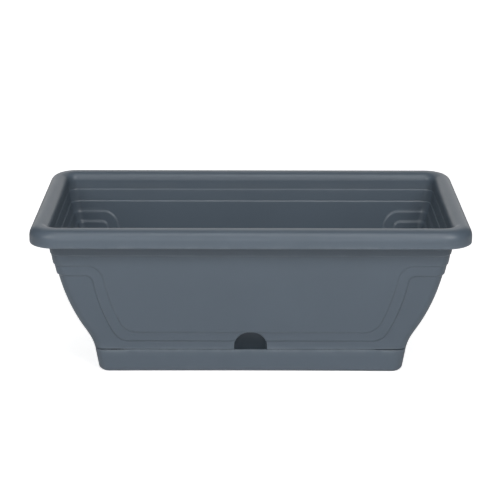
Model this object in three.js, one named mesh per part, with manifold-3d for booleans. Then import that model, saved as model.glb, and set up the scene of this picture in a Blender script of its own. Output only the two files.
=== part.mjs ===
// Window box planter standing in a drip tray: two plastic mouldings.
// The planter box has a rolled rim, stepped walls with a raised panel on each long side, a half-moon
// watering mouth at the front foot, a pierced floor, and hollow legs that stand in the tray.
// Millimetres, +Z up. The origin is the centre of the tray's underside, and the mouth faces -Y.

import * as THREE from 'three';
import { mergeVertices } from 'three/addons/utils/BufferGeometryUtils.js';
import Module from 'manifold-3d';

const wasm = await Module();
wasm.setup();

// ---- Overall size ----
const RIM_LENGTH = 400;
const RIM_WIDTH = 220;
const OVERALL_HEIGHT = 150;
const WALL = 2;

// ---- Rolled rim, an upside-down U ----
const RIM_CORNER_RADIUS = 25;
const RIM_SKIRT_HEIGHT = 16;
const RIM_OUTER_ROUNDING = 9;
const RIM_INNER_ROUNDING = 8;
const SIDE_OVERHANG = 17.5; // from the rim's outermost edge in to the outer face of a long side
const END_OVERHANG = 15.4; // and of an end

// ---- Foot of the box, where it meets the tray ----
const FOOT_LENGTH = 291.2;
const FOOT_WIDTH = 145.6;
const BODY_CORNER_RADIUS = 12;

// ---- How the walls draw in from the lip (0) to the foot (1), as shares of the whole draw-in ----
const LIP_SLOPE = 0.335;
const BELLY_AT = 0.827;
const BELLY_SHARE = 0.779;
const BELLY_SLOPE = 1.81;
const FOOT_SLOPE = 0.566;

// ---- Ledges that run right round the box: how far under the rim's top, and how deep the step is ----
const LIP_LEDGE = { depth: 16.5, step: 0.5 };
const GIRTH_LEDGE = { depth: 28.5, step: 0.7 };

// ---- The two nested lines of the long sides' panel. Each is a ledge round the ends and corners that
// turns down beside the panel and runs along under it ----
const OUTER_LINE = {
  depth: 38.6, // under the rim's top
  step: 1.0,
  halfLength: 139.3, // of the panel, before it follows the end wall's curve
  curveShare: 0.857, // how much of the end wall's draw-in the panel's side follows
  heightOverFoot: 18.7,
  topCorner: 12, // how far from the corner its rounding starts
  bottomCorner: 10,
};
const INNER_LINE = {
  depth: 48.7,
  step: 1.3,
  halfLength: 149.2,
  curveShare: 0.8,
  heightOverFoot: 9.1,
  topCorner: 5,
  bottomCorner: 9,
};

// ---- Watering mouth: an arch in the front foot, with a scoop behind it that runs down into the tray as
// a chute, open below ----
const MOUTH_RADIUS = 15.2;
const MOUTH_HEIGHT = 18.8;
const MOUTH_DEPTH = 16;
const CHUTE_DEPTH = 7; // how far it reaches below the foot of the box

// ---- Drip tray ----
const TRAY_HEIGHT = 24;
const TRAY_FLOOR = 2;
const TRAY_WALL = 2;
const TRAY_DRAFT = 0.143; // how far its wall leans in for each millimetre down
const TRAY_CORNER_RADIUS = 10;
const TRAY_BOTTOM_ROUNDING = 4.8;

// ---- Fit of the box in the tray ----
const SEAM_GAP = 0.5; // between the foot of the box and the tray's top edge
const SEAT_GAP = 0.3; // between the legs and the tray's floor
const SPIGOT_CLEARANCE = 0.6; // between the box's spigot and the tray's wall, all round
const SPIGOT_DEPTH = 5;

// ---- Floor of the box, its legs and its drain holes ----
const BOX_FLOOR = 2.5;
const LEG_TOP_RADIUS = 13;
const LEG_BOTTOM_RADIUS = 10;
const LEG_END_INSET = 32.4; // from the end of the foot to the axis of the end legs
const LEG_MOUTH_GAP = 2; // between the scoop of the mouth and the legs in line with it
const LEG_COLUMNS = 3;
const DRAIN_RADIUS = 3.5;
const LEG_DRAIN_RADIUS = 2.5;

// ---- Fineness of the faceted solids ----
const CORNER_STEPS = 5;
const ROUNDING_STEPS = 4;
const WALL_STATIONS = 10;
const ROUND_SIDES = 20;
const DRAIN_SIDES = 12;
const PAST = 1; // how far a cutting solid runs past what it cuts
const SMALLEST_RADIUS = 1; // of a round corner that an inset draws tight
const MERGE_DISTANCE = 1e-4; // between vertices that are one

// ---- Heights that follow from the sizes ----
const footZ = TRAY_HEIGHT + SEAM_GAP;
const lipZ = OVERALL_HEIGHT - RIM_SKIRT_HEIGHT;
const floorTopZ = footZ + BOX_FLOOR;
const legBottomZ = TRAY_FLOOR + SEAT_GAP;
const panelSteps = OUTER_LINE.step + INNER_LINE.step;
const allSteps = LIP_LEDGE.step + GIRTH_LEDGE.step + panelSteps;

// ---- Solids from triangles ----

function toSolid(geometry) {
  const bare = geometry.clone();
  bare.deleteAttribute('normal');
  bare.deleteAttribute('uv');
  const merged = mergeVertices(bare, MERGE_DISTANCE);
  const corners = merged.index.array;
  const kept = [];
  for (let i = 0; i < corners.length; i += 3) {
    const [a, b, c] = corners.slice(i, i + 3);
    if (a !== b && b !== c && c !== a) {
      kept.push(a, b, c);
    }
  }
  const vertProperties = new Float32Array(merged.attributes.position.array);
  const triVerts = new Uint32Array(kept);
  return new wasm.Manifold(new wasm.Mesh({ numProp: 3, vertProperties, triVerts }));
}

function toGeometry(solid) {
  const mesh = solid.getMesh();
  const geometry = new THREE.BufferGeometry();
  geometry.setAttribute('position', new THREE.BufferAttribute(mesh.vertProperties, 3));
  geometry.setIndex(new THREE.BufferAttribute(mesh.triVerts, 1));
  geometry.computeVertexNormals();
  return geometry;
}

// A level outline: a rectangle with round corners, counterclockwise seen from above.
function ring(halfLength, halfWidth, radius, z) {
  const points = [];
  const centreX = halfLength - radius;
  const centreY = halfWidth - radius;
  const quarters = [[1, 1], [-1, 1], [-1, -1], [1, -1]];
  quarters.forEach(([signX, signY], quarter) => {
    for (let step = 0; step <= CORNER_STEPS; step += 1) {
      const angle = (quarter + step / CORNER_STEPS) * Math.PI / 2;
      const x = signX * centreX + radius * Math.cos(angle);
      const y = signY * centreY + radius * Math.sin(angle);
      points.push(new THREE.Vector3(x, y, z));
    }
  });
  return points;
}

// A solid through a stack of rings, from its bottom face to its top face.
function loft(rings) {
  const sides = rings[0].length;
  const positions = [];
  const index = [];
  rings.flat().forEach((point) => positions.push(point.x, point.y, point.z));
  for (let level = 0; level + 1 < rings.length; level += 1) {
    for (let side = 0; side < sides; side += 1) {
      const next = (side + 1) % sides;
      const low = level * sides;
      const high = low + sides;
      index.push(low + side, low + next, high + next);
      index.push(low + side, high + next, high + side);
    }
  }
  const bottomCentre = rings.length * sides;
  const topCentre = bottomCentre + 1;
  const top = bottomCentre - sides;
  positions.push(0, 0, rings[0][0].z);
  positions.push(0, 0, rings[rings.length - 1][0].z);
  for (let side = 0; side < sides; side += 1) {
    const next = (side + 1) % sides;
    index.push(bottomCentre, next, side);
    index.push(topCentre, top + side, top + next);
  }
  const geometry = new THREE.BufferGeometry();
  geometry.setAttribute('position', new THREE.Float32BufferAttribute(positions, 3));
  geometry.setIndex(index);
  return toSolid(geometry);
}

// A prism of a shape drawn in X and Z, from the front face y0 to the back face y1.
function prismAlongY(shape, y0, y1) {
  const geometry = new THREE.ExtrudeGeometry(shape, {
    depth: y1 - y0,
    bevelEnabled: false,
    steps: 1,
    curveSegments: CORNER_STEPS,
  });
  geometry.rotateX(Math.PI / 2);
  geometry.translate(0, y1, 0);
  return toSolid(geometry);
}

function uprightCone(x, y, z0, z1, bottomRadius, topRadius, sides) {
  const geometry = new THREE.CylinderGeometry(topRadius, bottomRadius, z1 - z0, sides);
  geometry.rotateX(Math.PI / 2);
  geometry.translate(x, y, (z0 + z1) / 2);
  return toSolid(geometry);
}

// ---- The walls' draw-in ----

// A cubic from one value to another over a span of 1, with a slope at each end.
function cubic(t, from, to, slopeFrom, slopeTo) {
  const t2 = t * t;
  const t3 = t2 * t;
  return (2 * t3 - 3 * t2 + 1) * from + (t3 - 2 * t2 + t) * slopeFrom
    + (3 * t2 - 2 * t3) * to + (t3 - t2) * slopeTo;
}

// The share of the draw-in at a height: nearly upright at the lip, leaning most at the belly, and
// nearly upright again at the foot. Above the lip the wall is upright.
function drawInShare(z) {
  const down = THREE.MathUtils.clamp((lipZ - z) / (lipZ - footZ), 0, 1);
  if (down < BELLY_AT) {
    return cubic(down / BELLY_AT, 0, BELLY_SHARE, LIP_SLOPE * BELLY_AT, BELLY_SLOPE * BELLY_AT);
  }
  const rest = 1 - BELLY_AT;
  return cubic((down - BELLY_AT) / rest, BELLY_SHARE, 1, BELLY_SLOPE * rest, FOOT_SLOPE * rest);
}

const endDrawIn = RIM_LENGTH / 2 - END_OVERHANG - FOOT_LENGTH / 2 - allSteps;
const sideDrawIn = RIM_WIDTH / 2 - SIDE_OVERHANG - FOOT_WIDTH / 2 - allSteps;

// The ring of the wall's outer face at a height, with an inset for the ledges above it.
function wallRing(z, inset) {
  const share = drawInShare(z);
  const halfLength = RIM_LENGTH / 2 - END_OVERHANG - endDrawIn * share - inset;
  const halfWidth = RIM_WIDTH / 2 - SIDE_OVERHANG - sideDrawIn * share - inset;
  return ring(halfLength, halfWidth, Math.max(BODY_CORNER_RADIUS - inset, SMALLEST_RADIUS), z);
}

// Rings up the wall from a low height to a high one. The ledges on the way are steps outward.
function wallRings(lowZ, highZ, inset) {
  const ledges = [GIRTH_LEDGE, LIP_LEDGE];
  const stations = [];
  for (let station = 0; station <= WALL_STATIONS; station += 1) {
    stations.push(lowZ + (highZ - lowZ) * station / WALL_STATIONS);
  }
  const heights = ledges.map((ledge) => OVERALL_HEIGHT - ledge.depth);
  const allHeights = [...stations, ...heights.filter((z) => z > lowZ && z < highZ)];
  const rings = [];
  [...new Set(allHeights)].sort((a, b) => a - b).forEach((z) => {
    const insetBelow = ledges.reduce((sum, ledge, i) => sum + (z <= heights[i] ? ledge.step : 0), inset);
    const insetAbove = ledges.reduce((sum, ledge, i) => sum + (z < heights[i] ? ledge.step : 0), inset);
    rings.push(wallRing(z, insetBelow));
    if (insetAbove !== insetBelow) {
      rings.push(wallRing(z, insetAbove));
    }
  });
  return rings;
}

// ---- Rim ----

// A ring of the rim's outside, a distance in from its outermost edge.
function skirtRing(inward, z) {
  return ring(RIM_LENGTH / 2 - inward, RIM_WIDTH / 2 - inward, RIM_CORNER_RADIUS - inward, z);
}

// A ring of the rim's inside, a distance out from the inner face of the walls.
function innerRimRing(outward, z) {
  const inset = WALL - outward;
  const halfLength = RIM_LENGTH / 2 - END_OVERHANG - inset;
  const halfWidth = RIM_WIDTH / 2 - SIDE_OVERHANG - inset;
  return ring(halfLength, halfWidth, BODY_CORNER_RADIUS - inset, z);
}

// Rings along a quarter circle of the rim's section, round a centre given as a distance from the face
// that the ring function starts at, and a height. Angle 0 points along that distance backward.
function rimArc(makeRing, centre, centreZ, radius, startAngle, endAngle) {
  const rings = [];
  for (let step = 0; step <= ROUNDING_STEPS; step += 1) {
    const angle = startAngle + (endAngle - startAngle) * step / ROUNDING_STEPS;
    rings.push(makeRing(centre - radius * Math.cos(angle), centreZ + radius * Math.sin(angle)));
  }
  return rings;
}

const outerRoundingZ = OVERALL_HEIGHT - RIM_OUTER_ROUNDING;
const innerRoundingZ = OVERALL_HEIGHT - RIM_INNER_ROUNDING;

// The rings of the rim's outside, from the wall up its hollow, out over it, down the inside of the
// skirt, round the lip, and up the outside to the top.
function rimRings() {
  return [
    ...rimArc(innerRimRing, RIM_INNER_ROUNDING, innerRoundingZ, RIM_INNER_ROUNDING - WALL, 0, Math.PI / 2),
    ...rimArc(skirtRing, RIM_OUTER_ROUNDING, outerRoundingZ, RIM_OUTER_ROUNDING - WALL, Math.PI / 2, 0),
    skirtRing(WALL, lipZ),
    skirtRing(0, lipZ),
    ...rimArc(skirtRing, RIM_OUTER_ROUNDING, outerRoundingZ, RIM_OUTER_ROUNDING, 0, Math.PI / 2),
  ];
}

// The rings of the box's open top, from the inner face over the rim's inner rounding.
function openTopRings() {
  return [
    ...rimArc(innerRimRing, RIM_INNER_ROUNDING, innerRoundingZ, RIM_INNER_ROUNDING, 0, Math.PI / 2),
    innerRimRing(RIM_INNER_ROUNDING, OVERALL_HEIGHT + PAST),
  ];
}

// ---- Panel lines ----

// Everything above one line of the panel, seen from the front: all that is higher than its ledge,
// and the panel that hangs down between its two sides.
function aboveLine(line) {
  const ledgeZ = OVERALL_HEIGHT - line.depth;
  const panelBottomZ = footZ + line.heightOverFoot;
  const sideX = (z) => line.halfLength - line.curveShare * endDrawIn * drawInShare(z);
  const topStart = ledgeZ - line.topCorner;
  const bottomEnd = panelBottomZ + line.bottomCorner;
  const right = [];
  for (let station = 0; station <= CORNER_STEPS; station += 1) {
    const z = bottomEnd + (topStart - bottomEnd) * station / CORNER_STEPS;
    right.push(new THREE.Vector2(sideX(z), z));
  }
  const farX = RIM_LENGTH;
  const farZ = OVERALL_HEIGHT + 2 * PAST;
  const bottomX = sideX(panelBottomZ);
  const topX = sideX(ledgeZ);
  const shape = new THREE.Shape();
  shape.moveTo(-bottomX + line.bottomCorner, panelBottomZ);
  shape.lineTo(bottomX - line.bottomCorner, panelBottomZ);
  shape.quadraticCurveTo(bottomX, panelBottomZ, right[0].x, right[0].y);
  right.slice(1).forEach((point) => shape.lineTo(point.x, point.y));
  shape.quadraticCurveTo(topX, ledgeZ, topX + line.topCorner, ledgeZ);
  shape.lineTo(farX, ledgeZ);
  shape.lineTo(farX, farZ);
  shape.lineTo(-farX, farZ);
  shape.lineTo(-farX, ledgeZ);
  shape.lineTo(-topX - line.topCorner, ledgeZ);
  shape.quadraticCurveTo(-topX, ledgeZ, -right[CORNER_STEPS].x, right[CORNER_STEPS].y);
  right.slice(0, -1).reverse().forEach((point) => shape.lineTo(-point.x, point.y));
  shape.quadraticCurveTo(-bottomX, panelBottomZ, -bottomX + line.bottomCorner, panelBottomZ);
  return prismAlongY(shape, -RIM_WIDTH, RIM_WIDTH);
}

// A body with the panel's relief: the full one above the outer line, one step in between the lines,
// and two steps in below them. The stepped-in bodies end inside the full one.
function withRelief(full, steppedRings) {
  const between = loft(steppedRings(OUTER_LINE.step)).intersect(aboveLine(INNER_LINE));
  const below = loft(steppedRings(panelSteps));
  return full.intersect(aboveLine(OUTER_LINE)).add(between).add(below);
}

// ---- Planter box ----

function planterBox() {
  const steppedTopZ = OVERALL_HEIGHT - (GIRTH_LEDGE.depth + OUTER_LINE.depth) / 2;
  const outerFull = loft([...wallRings(footZ, lipZ, 0), ...rimRings()]);
  const outer = withRelief(outerFull, (inset) => wallRings(footZ, steppedTopZ, inset));
  const innerFull = loft([...wallRings(floorTopZ, lipZ, WALL), ...openTopRings()]);
  const inner = withRelief(innerFull, (inset) => wallRings(floorTopZ, steppedTopZ, WALL + inset));
  const chuteLow = footZ - CHUTE_DEPTH;
  const scoop = mouthPrism(MOUTH_RADIUS + WALL, MOUTH_HEIGHT + WALL, chuteLow, MOUTH_DEPTH + WALL);
  const mouth = mouthPrism(MOUTH_RADIUS, MOUTH_HEIGHT, chuteLow - PAST, MOUTH_DEPTH);
  const scoopRoom = outer.add(insideTray(chuteLow, footZ + BOX_FLOOR / 2, spigotInset));
  const box = outer.subtract(inner).add(scoop.intersect(scoopRoom)).add(spigot());
  return legsAndDrains(box).subtract(mouth);
}

// The mouth's arch as a prism that runs back from in front of the box to a depth behind the foot's
// face, and reaches down to a low height.
function mouthPrism(radius, height, lowZ, depth) {
  const springZ = footZ + height - radius;
  const shape = new THREE.Shape();
  shape.moveTo(-radius, lowZ);
  shape.lineTo(radius, lowZ);
  shape.lineTo(radius, springZ);
  shape.absarc(0, springZ, radius, 0, Math.PI, false);
  shape.lineTo(-radius, lowZ);
  return prismAlongY(shape, -RIM_WIDTH, -FOOT_WIDTH / 2 + depth);
}

const spigotInset = TRAY_WALL + SPIGOT_CLEARANCE; // from the tray's outer face to the spigot's

// A solid core of the tray's shape, set in from its outer face.
function insideTray(low, high, inset) {
  return loft([trayRing(low, inset), trayRing(high, inset)]);
}

// The rib under the floor that centres the box in the tray.
function spigot() {
  const low = footZ - SPIGOT_DEPTH;
  const high = footZ + BOX_FLOOR / 2;
  return insideTray(low, high, spigotInset)
    .subtract(insideTray(low - PAST, high + PAST, spigotInset + WALL));
}

// Legs and drain holes share one grid of columns and three rows. The legs stand in the outer rows,
// in every second column, and every other place has a drain hole.
function legsAndDrains(box) {
  const legX = FOOT_LENGTH / 2 - LEG_END_INSET;
  const legY = FOOT_WIDTH / 2 - MOUTH_DEPTH - WALL - LEG_MOUTH_GAP - LEG_TOP_RADIUS;
  const columns = 2 * LEG_COLUMNS - 1;
  const tops = { outside: footZ + BOX_FLOOR / 2, inside: floorTopZ + PAST };
  let drained = box;
  const cuts = [];
  for (let column = 0; column < columns; column += 1) {
    const x = -legX + 2 * legX * column / (columns - 1);
    [-legY, 0, legY].forEach((y) => {
      const isLeg = y !== 0 && column % 2 === 0;
      if (isLeg) {
        const bottomInside = legBottomZ + WALL;
        drained = drained.add(uprightCone(x, y, legBottomZ, tops.outside, LEG_BOTTOM_RADIUS,
          LEG_TOP_RADIUS, ROUND_SIDES));
        cuts.push(uprightCone(x, y, bottomInside, tops.inside, LEG_BOTTOM_RADIUS - WALL,
          LEG_TOP_RADIUS - WALL, ROUND_SIDES));
        cuts.push(uprightCone(x, y, legBottomZ - PAST, bottomInside + PAST, LEG_DRAIN_RADIUS,
          LEG_DRAIN_RADIUS, DRAIN_SIDES));
      } else {
        cuts.push(uprightCone(x, y, footZ - PAST, tops.inside, DRAIN_RADIUS, DRAIN_RADIUS, DRAIN_SIDES));
      }
    });
  }
  cuts.forEach((cut) => {
    drained = drained.subtract(cut);
  });
  return drained;
}

// ---- Drip tray ----

// The ring of the tray's outer face at a height, moved in by an inset. The wall leans in downward.
function trayRing(z, inset) {
  const lean = TRAY_DRAFT * (TRAY_HEIGHT - z);
  const inward = lean + inset;
  const radius = Math.max(TRAY_CORNER_RADIUS - inset, SMALLEST_RADIUS);
  return ring(FOOT_LENGTH / 2 - inward, FOOT_WIDTH / 2 - inward, radius, z);
}

function dripTray() {
  const rounded = [];
  for (let step = 0; step <= ROUNDING_STEPS; step += 1) {
    const angle = step / ROUNDING_STEPS * Math.PI / 2;
    const z = TRAY_BOTTOM_ROUNDING * (1 - Math.cos(angle));
    rounded.push(trayRing(z, TRAY_BOTTOM_ROUNDING * (1 - Math.sin(angle))));
  }
  const outside = loft([...rounded, trayRing(TRAY_HEIGHT, 0)]);
  const inside = loft([
    trayRing(TRAY_FLOOR, TRAY_WALL + TRAY_BOTTOM_ROUNDING / 2),
    trayRing(TRAY_FLOOR + TRAY_BOTTOM_ROUNDING / 2, TRAY_WALL),
    trayRing(TRAY_HEIGHT + PAST, TRAY_WALL),
  ]);
  return outside.subtract(inside);
}

// ---- Assembly ----

function piece(name, solid) {
  const plastic = new THREE.MeshStandardMaterial({ color: 0x59636d, roughness: 0.55, metalness: 0 });
  const mesh = new THREE.Mesh(toGeometry(solid), plastic);
  mesh.name = name;
  return mesh;
}

const planter = new THREE.Group();
planter.add(piece('drip_tray', dripTray()));
planter.add(piece('planter_box', planterBox()));

export default planter;
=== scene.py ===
"""A window box planter in its drip tray, both moulded in slate-grey plastic. Lengths are in metres."""
import math

import bpy
import numpy as np
from mathutils import Matrix, Vector


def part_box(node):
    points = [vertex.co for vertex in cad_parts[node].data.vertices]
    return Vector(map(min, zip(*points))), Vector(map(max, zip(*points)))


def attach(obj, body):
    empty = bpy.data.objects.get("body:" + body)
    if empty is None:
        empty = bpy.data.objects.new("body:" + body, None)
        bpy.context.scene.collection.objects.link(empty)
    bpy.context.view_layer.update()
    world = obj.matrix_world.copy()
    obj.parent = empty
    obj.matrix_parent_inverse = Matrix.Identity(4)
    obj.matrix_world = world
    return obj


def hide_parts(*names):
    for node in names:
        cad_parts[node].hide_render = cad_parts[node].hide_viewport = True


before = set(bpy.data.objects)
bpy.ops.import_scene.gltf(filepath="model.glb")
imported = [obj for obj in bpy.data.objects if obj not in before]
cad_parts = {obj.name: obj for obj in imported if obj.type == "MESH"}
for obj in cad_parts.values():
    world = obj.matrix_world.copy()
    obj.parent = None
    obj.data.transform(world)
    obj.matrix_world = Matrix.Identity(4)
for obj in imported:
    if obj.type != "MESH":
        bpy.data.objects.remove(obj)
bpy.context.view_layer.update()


# ---- Camera ----
# A long lens 1.6 m away, a little above the planter and square to its front. Its place and lens were
# worked out from the outline of the rim.

def add_camera(place, lens, down, turn, roll):
    """Adds a camera that looks along +Y, tipped down, turned about the vertical, then rolled about its
    own axis. Angles are in radians."""
    data = bpy.data.cameras.new("camera")
    data.lens = lens
    data.sensor_width = 36
    camera = bpy.data.objects.new("camera", data)
    bpy.context.scene.collection.objects.link(camera)
    upright = Matrix.Rotation(turn, 4, "Z") @ Matrix.Rotation(math.pi / 2 - down, 4, "X")
    camera.matrix_world = Matrix.Translation(place) @ upright @ Matrix.Rotation(roll, 4, "Z")
    bpy.context.scene.camera = camera


add_camera(
    place=Vector((0.00041, -1.52615, 0.58814)),
    lens=120.249,
    down=math.radians(17.7965),
    turn=math.radians(0.0417),
    roll=math.radians(0.0902),
)


# ---- Studio ----
# A plain white floor in a white room, lit by wide soft lamps from the front, both front sides and the
# back. To the camera the floor glows, a little less near the planter, where a faint shadow shows.

FLOOR_HALF = 12.0           # half of the floor's side
GLOW_NEAR = 0.73            # how strongly the floor glows up to NEAR from its middle
GLOW_FAR = 1.0              # and from FAR on
NEAR = 0.4
FAR = 2.5
LAMP_AIM = 0.08             # the height that the lamps face

floor_mesh = bpy.data.meshes.new("floor")
floor_corners = np.array([(-1, -1, 0), (1, -1, 0), (1, 1, 0), (-1, 1, 0)]) * FLOOR_HALF
floor_mesh.from_pydata(floor_corners, [], [(0, 1, 2, 3)])
floor = bpy.data.objects.new("floor", floor_mesh)
bpy.context.scene.collection.objects.link(floor)

paper = bpy.data.materials.new("white_paper")
paper.use_nodes = True
paper_tree = paper.node_tree
paper_shader = paper_tree.nodes["Principled BSDF"]
paper_shader.inputs["Base Color"].default_value = (0.88, 0.88, 0.885, 1)
paper_shader.inputs["Roughness"].default_value = 0.9
paper_shader.inputs["Specular IOR Level"].default_value = 0.1
paper_shader.inputs["Emission Color"].default_value = (1, 1, 1, 1)
place_on_floor = paper_tree.nodes.new("ShaderNodeTexCoord")
from_middle = paper_tree.nodes.new("ShaderNodeVectorMath")
from_middle.operation = "LENGTH"
brighter = paper_tree.nodes.new("ShaderNodeMapRange")
for socket, value in {"From Min": NEAR, "From Max": FAR, "To Min": GLOW_NEAR, "To Max": GLOW_FAR}.items():
    brighter.inputs[socket].default_value = value
floor_rays = paper_tree.nodes.new("ShaderNodeLightPath")
glow = paper_tree.nodes.new("ShaderNodeMath")
glow.operation = "MULTIPLY"
paper_tree.links.new(place_on_floor.outputs["Object"], from_middle.inputs[0])
paper_tree.links.new(from_middle.outputs["Value"], brighter.inputs["Value"])
paper_tree.links.new(brighter.outputs["Result"], glow.inputs[0])
paper_tree.links.new(floor_rays.outputs["Is Camera Ray"], glow.inputs[1])
paper_tree.links.new(glow.outputs["Value"], paper_shader.inputs["Emission Strength"])
floor_mesh.materials.append(paper)

world = bpy.data.worlds.new("white_room")
world.use_nodes = True
room = world.node_tree.nodes["Background"]
room.inputs["Color"].default_value = (1, 1, 1, 1)
room_rays = world.node_tree.nodes.new("ShaderNodeLightPath")
world.node_tree.links.new(room_rays.outputs["Is Camera Ray"], room.inputs["Strength"])
bpy.context.scene.world = world
bpy.context.scene.view_settings.view_transform = "Standard"


def soft_lamp(name, round_from_front, up, away, width, height, watts):
    """Adds a rectangular lamp that faces the planter. Its place is given by degrees round from the front,
    degrees up and how far away it is."""
    data = bpy.data.lights.new(name, "AREA")
    data.shape = "RECTANGLE"
    data.size = width
    data.size_y = height
    data.energy = watts
    lamp = bpy.data.objects.new(name, data)
    bpy.context.scene.collection.objects.link(lamp)
    turn, tilt = math.radians(round_from_front), math.radians(up)
    out = Vector((math.sin(turn) * math.cos(tilt), -math.cos(turn) * math.cos(tilt), math.sin(tilt)))
    facing = (-out).to_track_quat("-Z", "Y").to_matrix().to_4x4()
    lamp.matrix_world = Matrix.Translation(Vector((0, 0, LAMP_AIM)) + away * out) @ facing


# Each lamp has a name, degrees round and up, a distance, a width, a height and a power.
for lamp in (
    ("front_low", 0, 10, 2.2, 1.8, 0.5, 6.2),
    ("front_high", 0, 68, 2.2, 1.2, 0.4, 9.0),
    ("front_left", -40, 25, 2.2, 0.8, 0.8, 6.8),
    ("front_right", 40, 25, 2.2, 0.8, 0.8, 2.5),
    ("left_middle", -30, 35, 2.2, 0.7, 0.7, 8.6),
    ("right_middle", 30, 35, 2.2, 0.7, 0.7, 14.0),
    ("right_high", 20, 50, 2.2, 0.7, 0.6, 1.9),
    ("back_high", 180, 42, 2.4, 2.4, 0.8, 6.6),
    ("back_low", 180, 14, 2.4, 3.6, 1.0, 10.4),
    ("back_floor", 180, 3, 2.4, 2.4, 0.3, 1.5),
):
    soft_lamp(*lamp)


# ---- Drip tray ----
# A shallow tray, one injection moulding of slate-grey polypropylene with a satin skin. It stands on the
# floor by its corners, and the box stands in it on its legs.

tray_low, tray_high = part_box("drip_tray")
TRAY_HEIGHT = tray_high.z - tray_low.z
TRAY_WALL = 0.002
TRAY_FLOOR = 0.002
TRAY_DRAFT = 0.143          # how far the wall leans in for each metre down
TRAY_CORNER = 0.010
TRAY_BOTTOM_ROUNDING = 0.0048
TRAY_EDGE_ROUNDING = 0.0005
TRAY_BOW = 0.00045          # how far the middle of the long sides is bowed up off the floor
BOW_SHARE = 0.6             # the lower share of the tray's height, which bows
TRAY_DIP = 0.0004           # how far the top edge is lower at the corners
DIP_FROM = 0.108            # the X places between which it goes down
DIP_TO = 0.128
SMALLEST_RADIUS = 0.0008    # of the corners of any outline

ACROSS_TRAY = np.array([0.055, 0.04, 0.025, 0.012, 0.004])      # rings on its flats, in from the rounding
CORNER_STEPS = 9            # mesh faces round a corner of any outline
TRAY_END_STEPS = 7          # and along half an end and half a side of the tray
TRAY_SIDE_STEPS = 24
SHARP_ANGLE = 50            # degrees between faces, past which the edge between them is shaded sharp


def arc(centre_in, centre_z, radius, start, end, steps):
    """A round stretch of a wall's section as (inward, height) rows: the points at a radius round a
    centre, from one angle to another in degrees, where 0 points outward and 90 points up."""
    angle = np.radians(np.linspace(start, end, steps + 1))
    return np.stack([centre_in - radius * np.cos(angle), centre_z + radius * np.sin(angle)], axis=1)


def flat(inward, z):
    """A level stretch of a section, as (inward, height) rows."""
    return np.stack([inward, np.full_like(inward, z)], axis=1)


def smooth_s(t):
    """A smooth S, three times t squared less twice t cubed: 0 up to t = 0, and 1 from t = 1 on."""
    t = np.clip(t, 0, 1)
    return t * t * (3 - 2 * t)


def near_corner(x):
    """0 on the long middle of a side and 1 at its corners, with a smooth S from DIP_FROM to DIP_TO."""
    return smooth_s((np.abs(x) - DIP_FROM) / (DIP_TO - DIP_FROM))


def outline_rows(half_length, half_width, radius, along_end, along_side):
    """Level outlines, one row for each half_length: rectangles with round corners, counterclockwise
    from the middle of the +X end. The first quarter is a straight stretch, a quarter circle and a
    straight stretch. The second is its mirror image, and the other half is the first turned by half a
    turn. along_end is shares of the end's straight stretch, and along_side is X places on the side,
    from the corner in to the middle. Gives the points and their outward directions, both as rows x
    columns x 2."""
    rows = len(half_length)
    angle = np.linspace(0, np.pi / 2, CORNER_STEPS + 1)[1:]
    centre_x = (half_length - radius)[:, None]
    centre_y = (half_width - radius)[:, None]
    round_x = centre_x + radius[:, None] * np.cos(angle)
    round_y = centre_y + radius[:, None] * np.sin(angle)
    end = np.stack(np.broadcast_arrays(half_length[:, None], centre_y * along_end), axis=2)
    corner = np.stack([round_x, round_y], axis=2)
    side = np.stack(np.broadcast_arrays(along_side, half_width[:, None]), axis=2)
    quarter_outline = np.concatenate([end, corner, side], axis=1)
    facing = np.concatenate([np.zeros(end.shape[1]), angle, np.full(side.shape[1], np.pi / 2)])
    outward = np.broadcast_to(np.stack([np.cos(facing), np.sin(facing)], axis=1), (rows, len(facing), 2))

    def all_round(first):
        """The first quarter, its mirror image, and both again turned by half a turn."""
        mirrored = first[:, -2::-1] * (-1, 1)
        half = np.concatenate([first, mirrored], axis=1)
        return np.concatenate([half, -half[:, 1:-1]], axis=1)

    return all_round(quarter_outline), all_round(outward)


def skin(name, *shells):
    """A mesh of closed shells, each through its own rings of points, rows x columns x 3. Each ring is
    joined to the next by quads, and the first and last are closed by flat faces. The rings run
    counterclockwise, seen from in front of the first one, so that all faces look outward."""
    points, faces, start = [], [], 0
    for rings in shells:
        rows, columns = rings.shape[:2]
        index = start + np.arange(rows * columns).reshape(rows, columns)
        next_column = np.roll(index, -1, axis=1)
        quads = np.stack([index[:-1], index[1:], next_column[1:], next_column[:-1]], axis=2)
        faces += quads.reshape(-1, 4).tolist() + [index[0].tolist(), index[-1, ::-1].tolist()]
        points.append(rings.reshape(-1, 3))
        start += rows * columns
    mesh = bpy.data.meshes.new(name)
    mesh.from_pydata(np.concatenate(points), [], faces)
    piece = bpy.data.objects.new(name, mesh)
    bpy.context.scene.collection.objects.link(piece)
    return piece


def smooth_faces(piece):
    """Smooth shading, but for edges that turn by more than SHARP_ANGLE."""
    piece.data.shade_smooth()
    piece.data.set_sharp_from_angle(angle=math.radians(SHARP_ANGLE))


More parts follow.
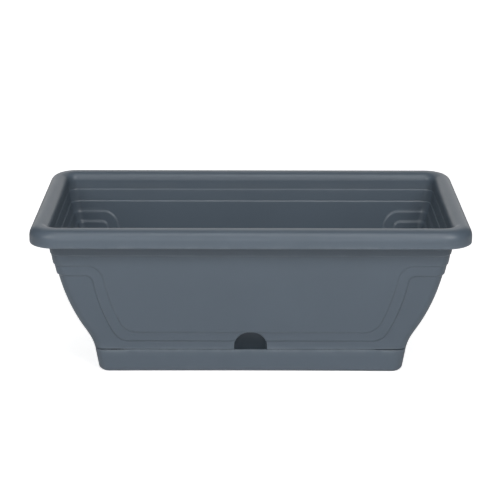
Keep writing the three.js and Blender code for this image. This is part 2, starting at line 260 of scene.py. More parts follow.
def tray_section():
    """The tray's wall and floor in section, as (inward, height) rows: from the inner floor up the wall,
    over its top edge, down its outside and under the bottom rounding to the underside. Inward is from
    the outer face."""
    edge = TRAY_EDGE_ROUNDING
    low = TRAY_BOTTOM_ROUNDING
    hollow = low / 2
    inside = TRAY_WALL + hollow
    return np.concatenate([
        flat(inside + ACROSS_TRAY, TRAY_FLOOR),
        arc(inside, TRAY_FLOOR + hollow, hollow, 270, 180, steps=6),
        [[TRAY_WALL, TRAY_HEIGHT / 2]],
        arc(TRAY_WALL - edge, TRAY_HEIGHT - edge, edge, 180, 90, steps=4),
        arc(edge, TRAY_HEIGHT - edge, edge, 90, 0, steps=4),
        [[0, share * TRAY_HEIGHT] for share in (0.85, 0.7, 0.55, 0.4, 0.3)],
        arc(low, low, low, 0, -90, steps=12),
        flat(low + ACROSS_TRAY[::-1], 0),
    ])


def tray_rings():
    """The tray's section carried round its outline. Each ring is set in by the wall's lean for each
    metre below the top edge. Between the corners the lower part of the tray bows up as a parabola, and
    at the corners the top edge dips."""
    inward, z = tray_section().T
    lean = TRAY_DRAFT * (TRAY_HEIGHT - z)
    half_length = tray_high.x - lean - inward
    half_width = tray_high.y - lean - inward
    radius = np.maximum(TRAY_CORNER - inward, SMALLEST_RADIUS)
    along_end = np.linspace(0, 1, TRAY_END_STEPS + 1)
    along_side = (half_length - radius)[:, None] * np.linspace(1, 0, TRAY_SIDE_STEPS + 1)[1:]
    points, _ = outline_rows(half_length, half_width, radius, along_end, along_side)
    height = np.broadcast_to(z[:, None], points.shape[:2])
    low = np.clip(1 - height / (BOW_SHARE * TRAY_HEIGHT), 0, 1)
    high = np.clip(2 * height / TRAY_HEIGHT - 1, 0, 1)
    bow = TRAY_BOW * low * np.clip(1 - (points[:, :, 0] / (tray_high.x - TRAY_CORNER)) ** 2, 0, 1)
    dip = TRAY_DIP * high * near_corner(points[:, :, 0])
    return np.concatenate([points, (height + bow - dip)[:, :, None]], axis=2)


SHARP_BEND = 1200           # a bend that counts as a full edge, in radians for each metre
SHORTEST_EDGE = 0.00001     # a shorter mesh edge counts as this long
MOST_CORNERS = 8            # a face with more gets no mark, which would spread over a whole flat


def mark_edges(piece):
    """Stores at each point, from 0 to 1, how sharply the skin stands out there, as edge, and how
    sharply it is hollow, as groove. The bend along a mesh edge is how far the normals spread along it
    over its length. A point takes the mean of its mesh edges, in which short ones count for more, and
    then shares it with its neighbours."""
    mesh = piece.data
    count = len(mesh.vertices)
    place = np.empty(3 * count)
    normal = np.empty(3 * count)
    ends = np.empty(2 * len(mesh.edges), dtype=int)
    mesh.vertices.foreach_get("co", place)
    mesh.vertex_normals.foreach_get("vector", normal)
    mesh.edges.foreach_get("vertices", ends)
    ends = ends.reshape(-1, 2)
    along = place.reshape(-1, 3)[ends[:, 0]] - place.reshape(-1, 3)[ends[:, 1]]
    spread = normal.reshape(-1, 3)[ends[:, 0]] - normal.reshape(-1, 3)[ends[:, 1]]
    length = np.maximum(np.linalg.norm(along, axis=1), SHORTEST_EDGE)
    both = ends.T.ravel()
    weight = np.tile(1 / length, 2)
    total = np.maximum(np.bincount(both, weight, count), 1)
    edge_bend = (along * spread).sum(axis=1) / length ** 2
    bend = np.bincount(both, weight * np.tile(edge_bend, 2), count) / total
    shared = np.bincount(both, weight * np.tile(bend[ends].mean(axis=1), 2), count) / total
    corners = np.empty(len(mesh.polygons), dtype=int)
    corner_points = np.empty(len(mesh.loops), dtype=int)
    mesh.polygons.foreach_get("loop_total", corners)
    mesh.loops.foreach_get("vertex_index", corner_points)
    shared[corner_points[np.repeat(corners > MOST_CORNERS, corners)]] = 0
    for name, amount in (("edge", shared), ("groove", -shared)):
        layer = mesh.attributes.new(name, "FLOAT", "POINT")
        layer.data.foreach_set("value", np.clip(amount / SHARP_BEND, 0, 1))


tray = skin("tray", tray_rings())
smooth_faces(tray)
mark_edges(tray)

SLATE_COLOUR = (0.0945, 0.122, 0.153)
RUBBED_COLOUR = (0.17, 0.20, 0.23)
DUST_COLOUR = (0.26, 0.25, 0.23)
PLASTIC_IOR = 1.49
SATIN_ROUGHNESS = 0.38
RUBBED_POLISH = 0.15        # how much less rough a rubbed edge is
DUST_DULLNESS = 0.5         # and how much rougher the dust

NOISE_MIDDLE = 0.5          # the mean of a noise's values
CLOUD_SCALE = 14.0          # the scales are in cells for each metre
CLOUD_DETAIL = 3
GRAIN_DETAIL = 2
GRAIN_HEIGHT = 0.00003
GRAIN_ROUGHNESS = 0.12      # how much the roughness goes up and down with the grain
RUBBED_SCALE = 70.0
DUST_SCALE = 40.0
PATCH_DETAIL = 4
PATCH_FROM = 0.35           # the noise values between which a patch fades in
PATCH_TO = 0.65
BETWEEN_PATCHES = 0.35      # the share of a mark that stays between the patches


def new_group(name, inputs, outputs):
    """A shader node group with named sockets: inputs as (name, kind, starting value), outputs as (name,
    kind). Gives the group and its two ends."""
    group = bpy.data.node_groups.new(name, "ShaderNodeTree")
    for socket, kind, value in inputs:
        made = group.interface.new_socket(socket, in_out="INPUT", socket_type=kind)
        made.default_value = value
    for socket, kind in outputs:
        group.interface.new_socket(socket, in_out="OUTPUT", socket_type=kind)
    return group, group.nodes.new("NodeGroupInput"), group.nodes.new("NodeGroupOutput")


def feed(tree, value, socket):
    """Sets a socket to a number, or links a node's output to it."""
    if isinstance(value, (int, float)):
        socket.default_value = value
    else:
        tree.links.new(value, socket)


def noise(tree, coordinates, scale, detail):
    """A noise texture's values."""
    node = tree.nodes.new("ShaderNodeTexNoise")
    for socket, value in (("Vector", coordinates), ("Scale", scale), ("Detail", detail)):
        feed(tree, value, node.inputs[socket])
    return node.outputs["Fac"]


def arithmetic(tree, operation, *values):
    """A maths node's result from numbers or outputs."""
    node = tree.nodes.new("ShaderNodeMath")
    node.operation = operation
    for socket, value in zip(node.inputs, values):
        feed(tree, value, socket)
    return node.outputs["Value"]


def moulded_skin_group():
    """The skin that a satin mould leaves. A coarse noise about 0 times Clouds, plus 1, scales the
    colour, as the faint clouds where the melt flowed. A fine noise, the spark-eroded grain, is the
    height, and shifts the roughness a little."""
    group, given, out = new_group(
        "moulded_skin",
        [("Color", "NodeSocketColor", (0.1, 0.12, 0.15, 1)), ("Clouds", "NodeSocketFloat", 0.06),
         ("Grain Scale", "NodeSocketFloat", 1200.0), ("Roughness", "NodeSocketFloat", 0.5)],
        [("Color", "NodeSocketColor"), ("Roughness", "NodeSocketFloat"), ("Height", "NodeSocketFloat")],
    )
    where = group.nodes.new("ShaderNodeTexCoord").outputs["Object"]
    clouds = arithmetic(group, "SUBTRACT", noise(group, where, CLOUD_SCALE, CLOUD_DETAIL), NOISE_MIDDLE)
    shade = group.nodes.new("ShaderNodeVectorMath")
    shade.operation = "SCALE"
    feed(group, given.outputs["Color"], shade.inputs[0])
    tint = arithmetic(group, "MULTIPLY_ADD", clouds, given.outputs["Clouds"], 1.0)
    feed(group, tint, shade.inputs["Scale"])
    grain = noise(group, where, given.outputs["Grain Scale"], GRAIN_DETAIL)
    ups_and_downs = arithmetic(group, "SUBTRACT", grain, NOISE_MIDDLE)
    uneven = arithmetic(group, "MULTIPLY_ADD", ups_and_downs, GRAIN_ROUGHNESS, given.outputs["Roughness"])
    for socket, value in (("Color", shade.outputs["Vector"]), ("Roughness", uneven), ("Height", grain)):
        feed(group, value, out.inputs[socket])
    return group


def patchy_mark_group(name, stored):
    """A mask that follows one of the stored marks, times Amount, broken up by noise as handling and
    washing leave it."""
    group, given, out = new_group(
        name,
        [("Amount", "NodeSocketFloat", 0.3), ("Patch Scale", "NodeSocketFloat", 60.0)],
        [("Mask", "NodeSocketFloat")],
    )
    where = group.nodes.new("ShaderNodeTexCoord").outputs["Object"]
    mark = group.nodes.new("ShaderNodeAttribute")
    mark.attribute_name = stored
    patches = group.nodes.new("ShaderNodeMapRange")
    patches.interpolation_type = "SMOOTHSTEP"
    patchy = noise(group, where, given.outputs["Patch Scale"], PATCH_DETAIL)
    for socket, value in (("Value", patchy), ("From Min", PATCH_FROM), ("From Max", PATCH_TO),
                          ("To Min", BETWEEN_PATCHES)):
        feed(group, value, patches.inputs[socket])
    broken = arithmetic(group, "MULTIPLY", mark.outputs["Fac"], patches.outputs["Result"])
    feed(group, arithmetic(group, "MULTIPLY", broken, given.outputs["Amount"]), out.inputs["Mask"])
    return group


moulded_skin = moulded_skin_group()
rubbed_edge = patchy_mark_group("rubbed_edge", "edge")
settled_dust = patchy_mark_group("settled_dust", "groove")


def placed(tree, group, **values):
    """A node group in a material's tree, with its own values."""
    node = tree.nodes.new("ShaderNodeGroup")
    node.node_tree = group
    for socket, value in values.items():
        node.inputs[socket.replace("_", " ")].default_value = value
    return node


def tinted(tree, colour, tint, mask):
    """A colour in a material's tree, mixed with a tint where a mask is white."""
    mix = tree.nodes.new("ShaderNodeMix")
    mix.data_type = "RGBA"
    mix.inputs["B"].default_value = (*tint, 1)
    tree.links.new(colour, mix.inputs["A"])
    tree.links.new(mask, mix.inputs["Factor"])
    return mix.outputs["Result"]


def slate_plastic(name, clouds, rubbed, dusty):
    """Satin moulded plastic: the moulded skin's colour and roughness with its grain as a bump, rubbed
    paler and glossier along its edges, and duller where dust has settled in its grooves."""
    material = bpy.data.materials.new(name)
    material.use_nodes = True
    tree = material.node_tree
    shader = tree.nodes["Principled BSDF"]
    shader.inputs["IOR"].default_value = PLASTIC_IOR
    surface = placed(tree, moulded_skin, Color=(*SLATE_COLOUR, 1), Clouds=clouds,
                     Roughness=SATIN_ROUGHNESS)
    edges = placed(tree, rubbed_edge, Amount=rubbed, Patch_Scale=RUBBED_SCALE).outputs["Mask"]
    dust = placed(tree, settled_dust, Amount=dusty, Patch_Scale=DUST_SCALE).outputs["Mask"]
    worn = tinted(tree, surface.outputs["Color"], RUBBED_COLOUR, edges)
    tree.links.new(tinted(tree, worn, DUST_COLOUR, dust), shader.inputs["Base Color"])
    glossier = arithmetic(tree, "MULTIPLY_ADD", edges, -RUBBED_POLISH, surface.outputs["Roughness"])
    duller = arithmetic(tree, "MULTIPLY_ADD", dust, DUST_DULLNESS, glossier)
    tree.links.new(duller, shader.inputs["Roughness"])
    bump = tree.nodes.new("ShaderNodeBump")
    bump.inputs["Strength"].default_value = 1.0
    bump.inputs["Distance"].default_value = GRAIN_HEIGHT
    tree.links.new(surface.outputs["Height"], bump.inputs["Height"])
    tree.links.new(bump.outputs["Normal"], shader.inputs["Normal"])
    return material


tray.data.materials.append(slate_plastic("tray_plastic", clouds=0.12, rubbed=0.7, dusty=0.2))
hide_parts("drip_tray")
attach(tray, "tray")


# ---- Planter box: walls, rim and floor ----
# The box is one injection moulding of the same plastic, with 2 mm walls all through. Its walls step in
# below each ledge, and the rim is rolled over into an upside-down U that stiffens the open top.

box_low, box_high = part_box("planter_box")
RIM_TOP = box_high.z
HALF_LENGTH = box_high.x
HALF_WIDTH = box_high.y
WALL = 0.002
RIM_CORNER = 0.025
RIM_SKIRT = 0.016           # how far the rim's outside reaches down
RIM_OUTER_ROUNDING = 0.009
RIM_INNER_ROUNDING = 0.008
SIDE_OVERHANG = 0.0175      # from the rim's outermost edge in to the outer face of a long side
END_OVERHANG = 0.0154       # and of an end
LIP_ROUNDING = 0.0009
SEAM_GAP = 0.0005           # between the foot of the box and the tray's top edge
FOOT_Z = tray_high.z + SEAM_GAP
LIP_Z = RIM_TOP - RIM_SKIRT
FOOT_HALF_LENGTH = 0.1456
FOOT_HALF_WIDTH = 0.0728
FOOT_ROUNDING = 0.0006
FOOT_SAG = 0.00035          # how far the foot hangs lower along the long sides
FOOT_LIFT = 0.0001          # and higher at the corners, over the dip in the tray
SAG_FADE = 0.004            # the height over which both fade out
BODY_CORNER = 0.012
BOX_FLOOR = 0.0025
FLOOR_Z = FOOT_Z + BOX_FLOOR
FLOOR_ROUNDING = 0.0015
SPIGOT_DEPTH = 0.005        # how far the spigot, which centres the box in the tray, hangs below the foot
SPIGOT_CLEARANCE = 0.0006
SPIGOT_BEVEL = 0.0006       # where it meets the underside, on both sides
BEVEL_REACH = 0.0008        # how far the outer bevel reaches out under the foot

# The walls' curve down from the lip to the foot. Slopes are in shares of the draw-in for a share of the
# height.
LIP_SLOPE = 0.335
BELLY_AT = 0.827            # the share of the height, downward, at which the walls lean most
BELLY_SHARE = 0.779         # and the share of the draw-in that is reached there
BELLY_SLOPE = 1.81
FOOT_SLOPE = 0.566

# The ledges that run right round, and the two panel lines, which turn down beside the panel and run
# under it. The outer line bounds the panel, and the inner line, on the next level in, runs round the
# outer one. Each steps in over its softness, and its depth is from the rim's top.
LIP_LEDGE = {"depth": 0.0165, "step": 0.0005, "softness": 0.0020}
GIRTH_LEDGE = {"depth": 0.0285, "step": 0.0007, "softness": 0.0010}
OUTER_LINE = {"depth": 0.0386, "step": 0.0010, "softness": 0.0010, "half_length": 0.1393,
              "curve_share": 0.857, "over_foot": 0.0187, "top_round": 0.012, "bottom_round": 0.010}
INNER_LINE = {"depth": 0.0487, "step": 0.0013, "softness": 0.0010, "half_length": 0.1492,
              "curve_share": 0.80, "over_foot": 0.0091, "top_round": 0.005, "bottom_round": 0.009}
LEDGES = (LIP_LEDGE, GIRTH_LEDGE)
PANEL_LINES = (OUTER_LINE, INNER_LINE)

all_steps = sum(line["step"] for line in LEDGES + PANEL_LINES)
end_draw_in = HALF_LENGTH - END_OVERHANG - FOOT_HALF_LENGTH - all_steps
side_draw_in = HALF_WIDTH - SIDE_OVERHANG - FOOT_HALF_WIDTH - all_steps

# Where the mesh has its rows and columns: spacings between rows, places of rings in from the walls and
# from the spigot, and counts of columns.
STEP_SPACING = 0.00025      # where a ledge steps in
INSIDE_SPACING = 0.0010     # where the panel lines turn, on the inside
OUTSIDE_SPACING = 0.0007    # and on the outside
FOOT_SPACING = 0.0018       # below the panel lines
PANEL_SPACING = 0.0035      # between their turns
LINE_SPACING = 0.0025       # over the panel lines, up to the girth ledge
TOP_SPACING = 0.0030        # over the girth ledge
ACROSS_FLOOR = np.array([0.0685, 0.057, 0.045, 0.033, 0.020, 0.0075])
ACROSS_UNDERSIDE = np.array([0.008, 0.020, 0.033, 0.045, 0.057, 0.0665])
BESIDE_LINES = (0.007, 0.012)       # how far the close columns reach beyond both panel lines, out and in
MOST_OUT = (0.97, 0.80)             # the shares of half the straight side that both limits stay within
SIDE_STEPS = (5, 44, 12)            # from the corner to the close columns, through them, to the middle
BOX_END_STEPS = 6


def cubic(t, start, end, start_slope, end_slope):
    """A cubic from one value to another over a span of 1, with a slope at each end."""
    return ((2 * t ** 3 - 3 * t ** 2 + 1) * start + (t ** 3 - 2 * t ** 2 + t) * start_slope
            + (3 * t ** 2 - 2 * t ** 3) * end + (t ** 3 - t ** 2) * end_slope)


def draw_in(z):
    """The share of the walls' draw-in at a height, from 0 at the lip to 1 at the foot: two cubics that
    meet at the belly, where the walls lean most."""
    down = np.clip((LIP_Z - z) / (LIP_Z - FOOT_Z), 0, 1)
    rest = 1 - BELLY_AT
    upper = cubic(down / BELLY_AT, 0, BELLY_SHARE, LIP_SLOPE * BELLY_AT, BELLY_SLOPE * BELLY_AT)
    lower = cubic((down - BELLY_AT) / rest, BELLY_SHARE, 1, BELLY_SLOPE * rest, FOOT_SLOPE * rest)
    return np.where(down < BELLY_AT, upper, lower)


def rounded_both(a, b, radius):
    """Positive where both distances are: their lesser, with the corner rounded to a radius."""
    outside_round = np.hypot(np.maximum(radius - a, 0), np.maximum(radius - b, 0))
    return np.maximum(radius, np.minimum(a, b)) - outside_round


def panel_side(line, z):
    """How far out the side of a panel line stands at a height: it follows a share of the ends' draw-in."""
    return line["half_length"] - line["curve_share"] * end_draw_in * draw_in(z)


def below_line(line, x, z):
    """How far a point is on the stepped-in side of a panel line: below its ledge and beside the panel,
    or below the panel, with both corners rounded."""
    under_ledge = RIM_TOP - line["depth"] - z
    beside = np.abs(x) - panel_side(line, z)
    under_panel = FOOT_Z + line["over_foot"] - z
    at_corner = rounded_both(under_ledge, beside, line["top_round"])
    return -rounded_both(-at_corner, -under_panel, line["bottom_round"])


def step_in(line, distance):
    """How far a ledge or line sets the wall in at a distance past it: its step, along a smooth S."""
    return line["step"] * smooth_s(distance / line["softness"] + 0.5)


def stepped_in(x, z):
    """How far the ledges and panel lines above a point set the wall in there."""
    level = sum(step_in(ledge, RIM_TOP - ledge["depth"] - z) for ledge in LEDGES)
    return level + sum(step_in(line, below_line(line, x, z)) for line in PANEL_LINES)


def spans(*stretches):
    """Heights from stretches of (start, end, spacing) that follow each other."""
    runs = [np.linspace(start, end, max(1, round(abs(end - start) / spacing)), endpoint=False)
            for start, end, spacing in stretches]
    return np.append(np.concatenate(runs), stretches[-1][1])


def wall_heights(low, high, turn_spacing):
    """Heights up a wall: close together where it steps and where the panel lines turn, wider apart
    between."""
    near = GIRTH_LEDGE["softness"]
    under_lines = FOOT_Z + INNER_LINE["over_foot"] - near
    bottom_turns = FOOT_Z + OUTER_LINE["over_foot"] + OUTER_LINE["bottom_round"]
    top_turns = RIM_TOP - INNER_LINE["depth"] - INNER_LINE["top_round"]
    over_lines = RIM_TOP - OUTER_LINE["depth"] + near
    girth = RIM_TOP - GIRTH_LEDGE["depth"]
    under_lip = RIM_TOP - LIP_LEDGE["depth"] - LIP_LEDGE["softness"] / 2
    return spans(
        (low, under_lines, FOOT_SPACING),
        (under_lines, bottom_turns, turn_spacing),
        (bottom_turns, top_turns, PANEL_SPACING),
        (top_turns, over_lines, turn_spacing),
        (over_lines, girth - near, LINE_SPACING),
        (girth - near, girth + near, STEP_SPACING),
        (girth + near, under_lip, TOP_SPACING),
        (under_lip, high, STEP_SPACING),
    )


def side_columns(z, corner_start):
    """X places of the columns along a long side at each height, from the corner in to the middle. They
    follow the panel lines down, close together where the lines run, wider apart between, and draw
    together on the floor."""
    start_close = np.minimum(panel_side(INNER_LINE, z) + BESIDE_LINES[0], MOST_OUT[0] * corner_start)
    end_close = np.minimum(panel_side(OUTER_LINE, z) - BESIDE_LINES[1], MOST_OUT[1] * corner_start)
    knots = np.stack([corner_start, start_close, end_close, np.zeros_like(z)], axis=1)
    parts = [knots[:, [k]] + (knots[:, [k + 1]] - knots[:, [k]]) * np.linspace(0, 1, steps + 1)[1:]
             for k, steps in enumerate(SIDE_STEPS)]
    return np.concatenate(parts, axis=1)


def rows_of(half_length, half_width, radius, z, stepped, sagging):
    """Rows of the box's skin: half length, half width, corner radius, height, and whether the ledges
    set the row in and whether it hangs lower in the middle."""
    ones = np.ones_like(z)
    return np.stack([half_length, half_width, radius, z, stepped * ones, sagging * ones], axis=1)


def wall_rows(z, thickness, further_in=0.0, sagging=0):
    """Rows of a wall at each height. thickness moves it in from the outer face, and further_in moves
    each row in by its own amount."""
    inset = np.broadcast_to(thickness + further_in, z.shape)
    half_length = HALF_LENGTH - END_OVERHANG - end_draw_in * draw_in(z) - inset
    half_width = HALF_WIDTH - SIDE_OVERHANG - side_draw_in * draw_in(z) - inset
    radius = np.maximum(BODY_CORNER - inset, all_steps + SMALLEST_RADIUS)
    return rows_of(half_length, half_width, radius, z, 1, sagging)


def inner_rim_rows(section):
    """Rows of the rim's inside from its section, (outward, height) rows, outward from the walls' inner
    face."""
    outward, z = section.T
    inset = WALL - outward
    half_length = HALF_LENGTH - END_OVERHANG - inset
    half_width = HALF_WIDTH - SIDE_OVERHANG - inset
    return rows_of(half_length, half_width, BODY_CORNER - inset, z, 0, 0)


def skirt_rows(section):
    """Rows of the rim's outside from its section, (inward, height) rows, inward from the outermost
    edge."""
    inward, z = section.T
    return rows_of(HALF_LENGTH - inward, HALF_WIDTH - inward, RIM_CORNER - inward, z, 0, 0)


def spigot_inset(z):
    """How far the spigot's outer face is in from the tray's outermost edge at a height: it leans as the
    tray's wall does."""
    return TRAY_WALL + SPIGOT_CLEARANCE + TRAY_DRAFT * (TRAY_HEIGHT - z)


def spigot_rows(section, sagging=1):
    """Rows of the spigot and underside from (inward, height) rows, inward from the spigot's outer face."""
    inward, z = section.T
    inset = spigot_inset(z) + inward
    radius = np.maximum(TRAY_CORNER - TRAY_WALL - SPIGOT_CLEARANCE - inward, SMALLEST_RADIUS)
    return rows_of(tray_high.x - inset, tray_high.y - inset, radius, z, 0, sagging)


def box_rows():
    """All rows of the box's skin, from its floor up the inside, over the rim, down the outside and
    under."""
    fillet = arc(FLOOR_ROUNDING, FLOOR_Z + FLOOR_ROUNDING, FLOOR_ROUNDING, 270, 180, steps=4)
    inner_z = RIM_TOP - RIM_INNER_ROUNDING
    outer_z = RIM_TOP - RIM_OUTER_ROUNDING
    lip = LIP_ROUNDING
    skirt = np.concatenate([
        arc(RIM_OUTER_ROUNDING, outer_z, RIM_OUTER_ROUNDING, 90, 0, steps=16),
        [[0, (outer_z + LIP_Z) / 2]],
        arc(lip, LIP_Z + lip, lip, 0, -90, steps=4),
        arc(WALL - lip, LIP_Z + lip, lip, -90, -180, steps=4),
        arc(RIM_OUTER_ROUNDING, outer_z, RIM_OUTER_ROUNDING - WALL, 0, 90, steps=8),
    ])
    edge = FOOT_ROUNDING
    foot = arc(edge, FOOT_Z + edge, edge, 0, -90, steps=4)
    low = FOOT_Z - SPIGOT_DEPTH + edge
    spigot = np.concatenate([
        [[-BEVEL_REACH, FOOT_Z], [0, FOOT_Z - SPIGOT_BEVEL]],
        arc(edge, low, edge, 0, -90, steps=3),
        arc(WALL - edge, low, edge, -90, -180, steps=3),
        [[WALL, FOOT_Z - SPIGOT_BEVEL], [WALL + SPIGOT_BEVEL, FOOT_Z]],
    ])
    return np.concatenate([
        wall_rows(np.full_like(ACROSS_FLOOR, FLOOR_Z), WALL, ACROSS_FLOOR),
        wall_rows(fillet[:, 1], WALL, fillet[:, 0]),
        wall_rows(wall_heights(FLOOR_Z + FLOOR_ROUNDING, LIP_Z, INSIDE_SPACING)[1:], WALL),
        inner_rim_rows(arc(RIM_INNER_ROUNDING, inner_z, RIM_INNER_ROUNDING, 0, 90, steps=14)),
        skirt_rows(skirt),
        inner_rim_rows(arc(RIM_INNER_ROUNDING, inner_z, RIM_INNER_ROUNDING - WALL, 90, 0, steps=8)),
        wall_rows(wall_heights(FOOT_Z + edge, LIP_Z, OUTSIDE_SPACING)[:0:-1], 0.0, sagging=1),
        wall_rows(foot[:, 1], 0.0, foot[:, 0], sagging=1),
        spigot_rows(spigot),
        spigot_rows(flat(ACROSS_UNDERSIDE, FOOT_Z), sagging=0),
    ])


def box_rings():
    """The box's rows as rings of points. Each ring is a round-cornered outline, and where it belongs to
    a wall its points are moved in along the outline's own direction by the ledges above them. The
    outside of the foot hangs lower between the corners and stands higher at them, with a smooth S
    between, and both fade out over SAG_FADE up the wall."""
    half_length, half_width, radius, z, stepped, sagging = box_rows().T
    columns = side_columns(z, half_length - radius)
    along_end = np.linspace(0, 1, BOX_END_STEPS + 1)
    points, outward = outline_rows(half_length, half_width, radius, along_end, columns)
    height = np.broadcast_to(z[:, None], points.shape[:2])
    inset = stepped[:, None] * stepped_in(points[:, :, 0], height)
    near_foot = sagging * np.clip(1 - (z - FOOT_Z) / SAG_FADE, 0, 1)
    sag = near_foot[:, None] * (FOOT_SAG - (FOOT_SAG + FOOT_LIFT) * near_corner(points[:, :, 0]))
    return np.concatenate([points - inset[:, :, None] * outward, (height - sag)[:, :, None]], axis=2)


box = skin("planter", box_rings())


# ---- Planter box: watering mouth ----
# A half-moon opening in the front foot, part of the same moulding. A scoop-shaped shell behind it keeps
# the soil back and runs down into the tray as a chute, open below, for the water.

MOUTH_RADIUS = 0.0152
MOUTH_HEIGHT = 0.0188       # over the foot
MOUTH_DEPTH = 0.016
MOUTH_EDGE = 0.0005         # rounding of its outer edge
SCOOP_ROUNDING = 0.0020     # where the scoop's back meets its roof and sides
CHUTE_DEPTH = 0.007         # how far the chute reaches below the foot
CHUTE_INSET = 0.0002        # how far its front is behind the spigot's face
CHUTE_EDGE = ((0.0006, 0.0), (0.0002, 0.0001), (0.0, 0.0004))       # bottom edge, (height, inset) rows
CUT_PAST = 0.001            # how far a cut reaches past what it cuts
MOUTH_FRONT = 0.004         # and the mouth in front of the wall
ARCH_STEPS = 40
ARCH_SIDE_STEPS = 8
mouth_back = -FOOT_HALF_WIDTH + MOUTH_DEPTH
in_the_floor = FOOT_Z + BOX_FLOOR / 2       # where the shapes that are joined to the floor end inside it


def arch(growth, low):
    """The mouth's outline as (x, height) rows, counterclockwise from its lower right corner, seen from in
    front: a semicircle on two upright sides, grown all round by a distance."""
    radius = MOUTH_RADIUS + growth
    spring = FOOT_Z + MOUTH_HEIGHT - MOUTH_RADIUS
    angle = np.linspace(0, np.pi, ARCH_STEPS + 1)
    side = np.linspace(low, spring, ARCH_SIDE_STEPS + 1)[:-1]
    right = np.stack([np.full_like(side, radius), side], axis=1)
    over = np.stack([radius * np.cos(angle), spring + radius * np.sin(angle)], axis=1)
    left = np.stack([np.full_like(side, -radius), side[::-1]], axis=1)
    return np.concatenate([right, over, left])


def front_face(x, z):
    """The Y place of the front wall's outer face."""
    return -(HALF_WIDTH - SIDE_OVERHANG - side_draw_in * draw_in(z) - stepped_in(x, z))


def arch_ring(growth, low, place):
    """One ring of an arch: place gives the Y of its points from their x and height."""
    x, z = arch(growth, low).T
    return np.stack([x, place(x, z), z], axis=1)


def quarter_turn(steps):
    """The angles of a quarter circle, in radians."""
    return np.radians(np.linspace(0, 90, steps + 1))


def closing_rings(growth, low, back, rounding, steps):
    """The last rings of an arch, whose back edge is rounded by a quarter circle: as they near its back,
    they shrink by the rounding."""
    return [arch_ring(growth - rounding * (1 - math.cos(t)), low,
                      lambda x, z, t=t: np.full_like(x, back - rounding * (1 - math.sin(t))))
            for t in quarter_turn(steps)]


def mouth_rings():
    """The mouth's hollow, from in front of the wall to the scoop's back. Its outer edge flares along a
    quarter circle that follows the wall's face."""
    low = FOOT_Z - CHUTE_DEPTH - CUT_PAST
    front = [arch_ring(MOUTH_EDGE, low, lambda x, z: front_face(x, z) - MOUTH_FRONT)]
    flare = [arch_ring(MOUTH_EDGE * (1 - math.sin(t)), low,
                       lambda x, z, t=t: front_face(x, z) + MOUTH_EDGE * (1 - math.cos(t)))
             for t in quarter_turn(4)]
    return np.stack(front + flare + closing_rings(0, low, mouth_back, SCOOP_ROUNDING, steps=4))


def scoop_rings():
    """The scoop's outside: the arch grown by the wall's thickness, from inside the front wall to behind
    the mouth."""
    front = [arch_ring(WALL, in_the_floor, lambda x, z: front_face(x, z) + WALL / 2)]
    back = closing_rings(WALL, in_the_floor, mouth_back + WALL, SCOOP_ROUNDING + WALL, steps=6)
    return np.stack(front + back)


def chute_rings():
    """The chute's outside, level outlines from inside the floor down: straight at the front, just
    inside the spigot's face, with its two back edges rounded by quarter circles. Its bottom edge is a
    little rounded."""
    edge = SCOOP_ROUNDING + WALL
    low = FOOT_Z - CHUTE_DEPTH
    turn = quarter_turn(6)
    rings = []
    for z, inset in [(in_the_floor, 0.0)] + [(low + up, inset) for up, inset in CHUTE_EDGE]:
        front = -(tray_high.y - spigot_inset(z)) + CHUTE_INSET + inset
        side = MOUTH_RADIUS + WALL - inset
        back = mouth_back + WALL - inset
        corner = np.stack([side - edge + edge * np.cos(turn), back - edge + edge * np.sin(turn)], axis=1)
        outline = np.concatenate([[[-side, front], [side, front]], corner, corner[::-1] * (-1, 1)])
        rings.append(np.column_stack([outline, np.full(len(outline), z)]))
    return np.stack(rings)


# ---- Planter box: legs and drain holes ----
# Six hollow tapered legs under the floor, part of the same moulding, stand in the tray and draw its
# water up into the soil. Each has a hole in its bottom, and nine holes drain the floor between them.

LEG_TOP_RADIUS = 0.013
LEG_BOTTOM_RADIUS = 0.010
LEG_BOTTOM_Z = box_low.z
LEG_X = 0.1132              # how far the outer legs are from the middle
LEG_Y = 0.0398
LEG_ROUNDING = 0.0010
LEG_HOLE_RADIUS = 0.0025
DRAIN_RADIUS = 0.0035
DRAIN_EDGE = 0.0004         # rounding of a drain hole's upper edge
ROUND_STEPS = 48            # mesh faces round a leg or hole
QUARTER_STEPS = 5           # and over a rounding in its section


def lathe_rings(section, x, y):
    """A round solid about an upright axis at a place, from (radius, height) rows, top first."""
    angle = np.linspace(0, 2 * np.pi, ROUND_STEPS, endpoint=False)
    radius, z = np.array(section).T
    around_x = x + radius[:, None] * np.cos(angle)
    around_y = y + radius[:, None] * np.sin(angle)
    return np.stack(np.broadcast_arrays(around_x, around_y, z[:, None]), axis=2)


def quarter(radius, z, size, start, end):
    """A quarter circle in a round solid's section, as (radius, height) rows about a centre, from one
    angle to another in degrees, where 0 points outward and 90 points up."""
    angle = np.radians(np.linspace(start, end, QUARTER_STEPS + 1))
    return np.stack([radius + size * np.cos(angle), z + size * np.sin(angle)], axis=1)


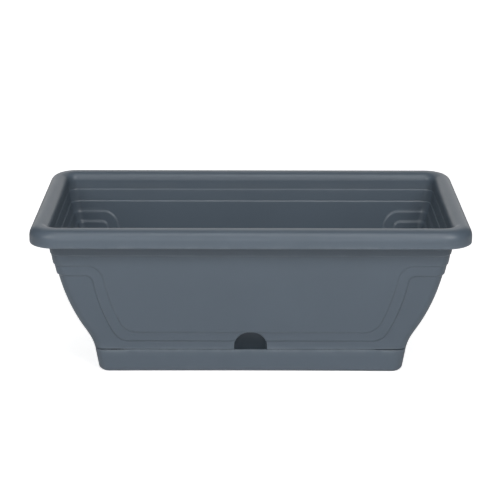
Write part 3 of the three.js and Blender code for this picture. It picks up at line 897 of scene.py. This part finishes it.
hollow_top = LEG_TOP_RADIUS - WALL + LEG_ROUNDING
hollow_bottom = LEG_BOTTOM_RADIUS - WALL - LEG_ROUNDING
leg_outside = np.concatenate([
    [[LEG_TOP_RADIUS + LEG_ROUNDING, in_the_floor]],
    quarter(LEG_TOP_RADIUS + LEG_ROUNDING, FOOT_Z - LEG_ROUNDING, LEG_ROUNDING, 90, 180),
    quarter(LEG_BOTTOM_RADIUS - LEG_ROUNDING, LEG_BOTTOM_Z + LEG_ROUNDING, LEG_ROUNDING, 0, -90),
])
leg_inside = np.concatenate([
    [[hollow_top, FLOOR_Z + CUT_PAST]],
    quarter(hollow_top, FLOOR_Z - LEG_ROUNDING, LEG_ROUNDING, 90, 180),
    quarter(hollow_bottom, LEG_BOTTOM_Z + WALL + LEG_ROUNDING, LEG_ROUNDING, 0, -90),
    [[LEG_HOLE_RADIUS, LEG_BOTTOM_Z + WALL], [LEG_HOLE_RADIUS, LEG_BOTTOM_Z - CUT_PAST]],
])
drain = np.concatenate([
    [[DRAIN_RADIUS + DRAIN_EDGE, FLOOR_Z + CUT_PAST]],
    quarter(DRAIN_RADIUS + DRAIN_EDGE, FLOOR_Z - DRAIN_EDGE, DRAIN_EDGE, 90, 180),
    [[DRAIN_RADIUS, FOOT_Z - CUT_PAST]],
])


def combine(piece, helper, operation):
    """Joins a helper to a piece or cuts it out of the piece, and removes the helper."""
    change = piece.modifiers.new(operation, "BOOLEAN")
    change.operation = operation
    change.solver = "MANIFOLD"
    change.object = helper
    shape = bpy.data.meshes.new_from_object(piece.evaluated_get(bpy.context.evaluated_depsgraph_get()))
    shape.materials.clear()
    piece.modifiers.clear()
    piece.data = shape
    bpy.data.objects.remove(helper)


leg_places = [(x, y) for x in (-LEG_X, 0, LEG_X) for y in (-LEG_Y, LEG_Y)]
drain_places = [(x, 0) for x in (-LEG_X, 0, LEG_X)]
drain_places += [(x, y) for x in (-LEG_X / 2, LEG_X / 2) for y in (-LEG_Y, 0, LEG_Y)]

legs = [lathe_rings(leg_outside, x, y) for x, y in leg_places]
holes = [lathe_rings(leg_inside, x, y) for x, y in leg_places]
holes += [lathe_rings(drain, x, y) for x, y in drain_places]
combine(box, skin("scoop_and_legs", scoop_rings(), *legs), "UNION")
combine(box, skin("chute", chute_rings()), "UNION")
combine(box, skin("mouth_and_holes", mouth_rings(), *holes), "DIFFERENCE")
smooth_faces(box)
mark_edges(box)
flat_faces = box.modifiers.new("flat_faces", "WEIGHTED_NORMAL")
flat_faces.keep_sharp = True

box.data.materials.append(slate_plastic("box_plastic", clouds=0.14, rubbed=0.6, dusty=0.16))
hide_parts("planter_box")
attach(box, "box")
